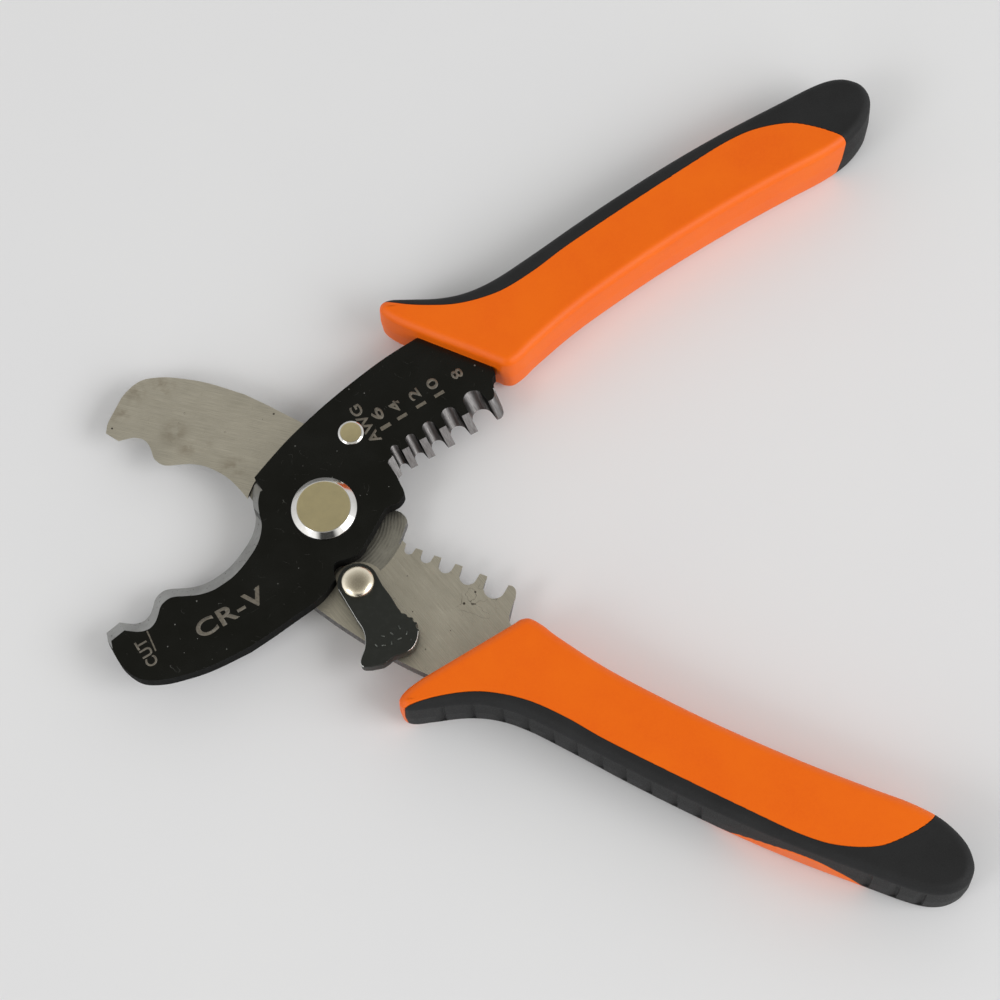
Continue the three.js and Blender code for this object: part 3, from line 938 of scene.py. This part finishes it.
def makeLatch():
    sizes = {
        "edge": 0.24,
        "tab": (22.5, 16.5),  # middle of the tab in the lever
        "scallops": [(21.9, 12.05), (23.2, 12.25), (24.5, 12.6), (25.5, 13.5)],
        "scallop": 0.6,
        "scallopDepth": 0.3,
        "scallopLength": 8,
        "rimTilt": (0.1, 0.97),  # upward part of the normal on the rounded rim
        "sideTilt": 0.3,
        "wornOrHighlitBelow": -16,  # the left rim is bare below this y in the tool; its bare steel is partly wear and partly a painted highlight
        "glint": (-28.5, -25),  # and the right rim between these, where the bare steel is a painted glint
    }
    piece = copyNode("latch", "thumbLatch")
    bevelEdges(piece, sizes["edge"])
    low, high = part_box("latch")
    toTool = rearPlace @ Matrix.Translation((0, 0, low.z - middleZ))
    for x, y in sizes["scallops"]:
        clearSelection()
        bpy.ops.mesh.primitive_cylinder_add(
            vertices=24, radius=sizes["scallop"] * mm, depth=sizes["scallopLength"] * mm
        )
        cutter = bpy.context.object
        outward = (Vector((x, y)) - Vector(sizes["tab"])).normalized()
        centre = Vector((x, y)) + outward * (sizes["scallop"] - sizes["scallopDepth"])
        cutter.data.transform(toTool @ Matrix.Translation((centre.x * mm, centre.y * mm, 0)))
        faceOutwards(cutter)
        cutWith(piece, cutter)
    smooth(piece, 35)

    # bare steel on the left rim is wear and a painted highlight; on the right rim it is a painted glint
    def isWornOrHighlit(face):
        lowest, highest = sizes["rimTilt"]
        y = face.center.y / mm
        if not lowest < face.normal.z < highest or y >= sizes["wornOrHighlitBelow"]:
            return False
        inGlint = sizes["glint"][0] < y < sizes["glint"][1]
        side = face.normal.x / sizes["sideTilt"]
        return side < -1 or (side > 1 and inGlint)

    brightWhere(piece, isWornOrHighlit)
    makeLatchMarks(high.z - middleZ)
    finishes = [blackOxide, bareEdgeOrHighlight]
    finishPiece(piece, Matrix.Identity(4), "latch", finishes, ["latch"])


makeLatch()
print("latch made")


gripSizes = {
    "mouth": (41.6, 6.4),  # lower end of the slanted front wall
    "flare": [
        (30.8, 22.6), (29.4, 25.2), (28.8, 27.4), (29.3, 28.7),
        (30.5, 29.2), (32.2, 28.8), (35, 27.1),
    ],
    "outer": [
        (40, 24.1), (45, 22.3), (51, 21.7), (60, 22.2), (70, 23.0), (80, 23.6), (92, 24.0), (104, 23.9),
    ],
    "end": [
        (116, 23.26), (125, 22.64), (129.5, 21.2), (132, 18.6),
        (132.55, 16.2), (131.8, 13.6), (129, 10.8),
    ],
    "inner": [
        (124, 8.8), (118, 8.3), (110, 8.7), (98, 9.1), (84, 9.0), (72, 8.4), (60, 7.3), (50, 5.5),
    ],
    "corner": [(46.5, 4.6), (43.8, 4.4), (42.3, 5.3), (41.6, 6.4)],
    "middle": 0.8,  # height of the grip's own middle plane
    "sheet": 0.1,  # half thickness of the plate that the two faces are drawn out from
    "half": 6.4,
    "halfFront": 5.7,  # half thickness at the flare
    "thicken": (32, 70),  # where it starts to grow from one to the other, and over what length
    "draft": 0.25,
    "rounding": 1.8,
    "slices": range(34, 130, 6),  # cross cuts that let the thickness change
    "seam": [
        (29.4, 31), (31.2, 28.3), (35, 24.9), (40, 21.7), (45, 19.9), (51, 19.0), (58, 19.2),
        (66, 20.1), (80, 20.8), (95, 21.1), (104, 21.0), (110, 20.0), (116, 17.4), (120.5, 13.2),
        (122.8, 9.9), (123.4, 6),
    ],
    "seamDrop": {"front": 0.7, "rear": 0.1},  # how much wider the rubber band is
    "dropRamp": (38, 12),
    "seamGap": 0.04,
    "beyond": [(140, 5), (140, 40), (29.4, 40)],  # the cutter's corners outside the grip
    "cutterHalf": 9,
    "backBulge": (8.2, 110, 23),  # how far, where and how wide the rear seam swings outwards
    "bulgeRamp": (11, 6),
    "footSwing": 2.6,  # how far the foot of the seam leans forwards at the back
    "footRamp": (9, 6),
    "footEnd": 130,
    "tang": [
        (25, 4.2), (38, 4.2), (41.4, 5.4), (41.6, 8.6), (46, 9.8), (55, 11.4), (105, 12.6), (108, 14.6),
        (105, 16.8), (55, 16.4), (42, 17.5), (36, 19.8), (30, 20.3),
    ],
    "tangGap": 0.03,
    "ribs": [36.2, 40.8, 45.8, 50.5, 55.5, 60.2, 65.3, 70, 75, 80, 84.7, 116, 121, 125.6],
    "rib": (2.0, 1.0, 8.6),  # width, depth and length of the wedge that cuts each one
    "ribTurn": -22,
    "ribRounding": 0.32,
    "ribOut": 0.165,  # how far outside the grip's side the wedge's middle lies
}


def gripOutline():
    s = gripSizes
    line = curveThrough(s["flare"] + s["outer"] + s["end"] + s["inner"] + s["corner"])
    return [s["mouth"]] + line[:-1]


def makeGripBlank():
    s = gripSizes
    blank = drawPlate("gripBlank", gripOutline(), -s["sheet"], s["sheet"])
    selectFaces(blank, lambda face: abs(face.normal.z) > 0.9)
    depth = s["half"] - s["sheet"]
    bpy.ops.mesh.inset(thickness=s["draft"] * mm, depth=depth * mm, use_even_offset=True)
    bpy.ops.mesh.region_to_loop()
    bpy.ops.mesh.bevel(
        offset=s["rounding"] * mm, segments=5, profile=0.5, affect="EDGES", clamp_overlap=False,
        loop_slide=True,
    )
    for x in s["slices"]:
        bpy.ops.mesh.select_all(action="SELECT")
        bpy.ops.mesh.bisect(plane_co=(x * mm, 0, 0), plane_no=(1, 0, 0))
    bpy.ops.mesh.select_all(action="SELECT")
    bpy.ops.mesh.normals_make_consistent(inside=False)
    bpy.ops.object.mode_set(mode="OBJECT")
    for vertex in blank.data.vertices:
        along = ramp(vertex.co.x / mm, *s["thicken"])
        along = along * along * (3 - 2 * along)
        half = s["halfFront"] + (s["half"] - s["halfFront"]) * along
        vertex.co.z = vertex.co.z * half / s["half"] + s["middle"] * mm
    return blank


def makeSeamCutter(name, shift, drop):
    s = gripSizes
    line = [
        (x + shift, y + shift - drop * ramp(x, *s["dropRamp"])) for x, y in curveThrough(s["seam"])
    ]
    cutter = drawPlate(name, line + s["beyond"], -s["cutterHalf"], s["cutterHalf"])
    bpy.ops.object.mode_set(mode="OBJECT")
    height, middle, width = s["backBulge"]
    for vertex in cutter.data.vertices:
        if vertex.co.z < 0:
            offset = (vertex.co.x / mm - middle) / width
            outwards = ramp(vertex.co.y / mm, *s["bulgeRamp"])
            vertex.co.y += height * mm * math.exp(-offset * offset) * outwards
            if vertex.co.x < s["footEnd"] * mm:
                vertex.co.x -= s["footSwing"] * mm * (1 - ramp(vertex.co.y / mm, *s["footRamp"]))
    return cutter


def outerEdge(x):
    # place and slope of the grip's outer side
    line = curveThrough(gripSizes["flare"][4:] + gripSizes["outer"] + gripSizes["end"][:3])
    for (x0, y0), (x1, y1) in zip(line, line[1:]):
        if x0 <= x <= x1:
            return y0 + (y1 - y0) * (x - x0) / (x1 - x0), math.atan2(y1 - y0, x1 - x0)
    return line[-1][1], 0.0


def makeRibCutters():
    # one wedge, bevelled, then copied along the outer side
    s = gripSizes
    clearSelection()
    bpy.ops.mesh.primitive_cube_add(size=1)
    wedge = bpy.context.object
    wedge.data.transform(Matrix.Diagonal((*(side * mm for side in s["rib"]), 1)))
    wedge.data.transform(Matrix.Rotation(math.radians(s["ribTurn"]), 4, "Z"))
    useModifier(wedge, "BEVEL", width=s["ribRounding"] * mm, segments=3)
    cutters = []
    for number, x in enumerate(s["ribs"]):
        y, slope = outerEdge(x)
        cutter = copyPiece(wedge, f"ribCutter{number}")
        place = Matrix.Translation((x * mm, (y + s["ribOut"]) * mm, s["middle"] * mm))
        cutter.data.transform(place @ Matrix.Rotation(slope, 4, "Z"))
        cutters.append(cutter)
    bpy.data.objects.remove(wedge)
    return joinPieces(cutters, "ribCutters")


def makeGrips():
    s = gripSizes
    gap = s["tangGap"]
    for name, body, place, low in (
        ("front", "front_lever", frontPlace, innerZ),
        ("rear", "rear_lever", rearPlace, -faceZ),
    ):
        drop = s["seamDrop"][name]
        mould = makeGripBlank()
        mould.name = name + "GripOvermould"
        core = copyPiece(mould, name + "GripCore")
        cutWith(core, makeSeamCutter("coreCutter", -s["seamGap"], drop))
        cutWith(mould, makeSeamCutter("mouldCutter", s["seamGap"], drop), operation="INTERSECT")
        cutWith(mould, makeRibCutters())
        bottom, top = low / mm - gap, (low + bladeThickness) / mm + gap
        slot = drawPlate("slotCutter", s["tang"], bottom, top)
        clearSelection()
        cutWith(core, slot)
        for piece, width in ((core, 0.06), (mould, 0.1)):
            bevelEdges(piece, width, segments=2, angle=40)
            smooth(piece, 38)
        coreNode, mouldNode = name + "_grip_core", name + "_grip_overmould"
        finishPiece(core, place, body, [orangePlastic], [coreNode])
        finishPiece(mould, place, body, [charcoalRubber], [mouldNode])


makeGrips()
print("grips made")


# markings on the front blade
markings = {
    "words": [  # text, left, right, bottom and top in the lever, and whether it is turned a quarter
        ("CR-V", -31.6, -17.6, -9.7, -6.3, False),
        ("CUT", -42.3, -40.1, -9.2, -3.6, True),
        ("AWG", 14.0, 16.2, 6.0, 14.8, True),
        ("16", 16.9, 19.1, 7.5, 12.2, True),
        ("14", 20.6, 22.7, 7.6, 11.6, True),
        ("12", 24.8, 26.9, 7.7, 11.6, True),
        ("10", 28.8, 30.9, 7.7, 11.7, True),
        ("8", 33.7, 35.9, 8.8, 10.7, True),
    ],
    "lineEnds": ((-39.1, -2.8), (-39.6, -7.0)),
    "lineWidth": 0.28,
    "height": 0.015,  # how far the ink stands proud
    "sunk": 0.02,  # and how far it reaches into the coat
    "weight": 0.022,  # how much heavier the letters are than the plain font
    "spacing": 1.08,
}


def makeWord(text, left, right, bottom, top, turned):
    clearSelection()
    bpy.ops.object.text_add()
    word = bpy.context.object
    word.data.body = text
    word.data.size = 1
    word.data.offset = markings["weight"]
    word.data.space_character = markings["spacing"]
    bpy.ops.object.convert(target="MESH")
    word = bpy.context.object
    if turned:
        word.data.transform(Matrix.Rotation(math.pi / 2, 4, "Z"))
    corners = [vertex.co for vertex in word.data.vertices]
    low = [min(corner[k] for corner in corners) for k in (0, 1)]
    high = [max(corner[k] for corner in corners) for k in (0, 1)]
    stretch = ((right - left) * mm / (high[0] - low[0]), (top - bottom) * mm / (high[1] - low[1]))
    word.data.transform(Matrix.Translation((-low[0], -low[1], 0)))
    word.data.transform(Matrix.Diagonal((*stretch, 1, 1)))
    base = faceZ - markings["sunk"] * mm
    word.data.transform(Matrix.Translation((left * mm, bottom * mm, base)))
    return word


def makeMarkings():
    words = [makeWord(*word) for word in markings["words"]]
    (x0, y0), (x1, y1) = markings["lineEnds"]
    half, sunk = markings["lineWidth"] / 2, markings["sunk"]
    corners = [(x0 - half, y0), (x0 + half, y0), (x1 + half, y1), (x1 - half, y1)]
    line = drawLine("markLine", corners, closed=True)
    bpy.ops.mesh.edge_face_add()
    bpy.ops.object.mode_set(mode="OBJECT")
    line.data.transform(Matrix.Translation((0, 0, faceZ - sunk * mm)))
    ink = joinPieces([line] + words, "bladeMarkings")
    editMesh(ink)
    bpy.ops.mesh.remove_doubles(threshold=0.0005 * mm)
    bpy.ops.mesh.normals_make_consistent(inside=False)
    clearSelection()
    useModifier(ink, "SOLIDIFY", thickness=(markings["height"] + sunk) * mm, offset=1)
    finishPiece(ink, frontPlace, "front_lever", [markingInk])


makeMarkings()
print("markings made")
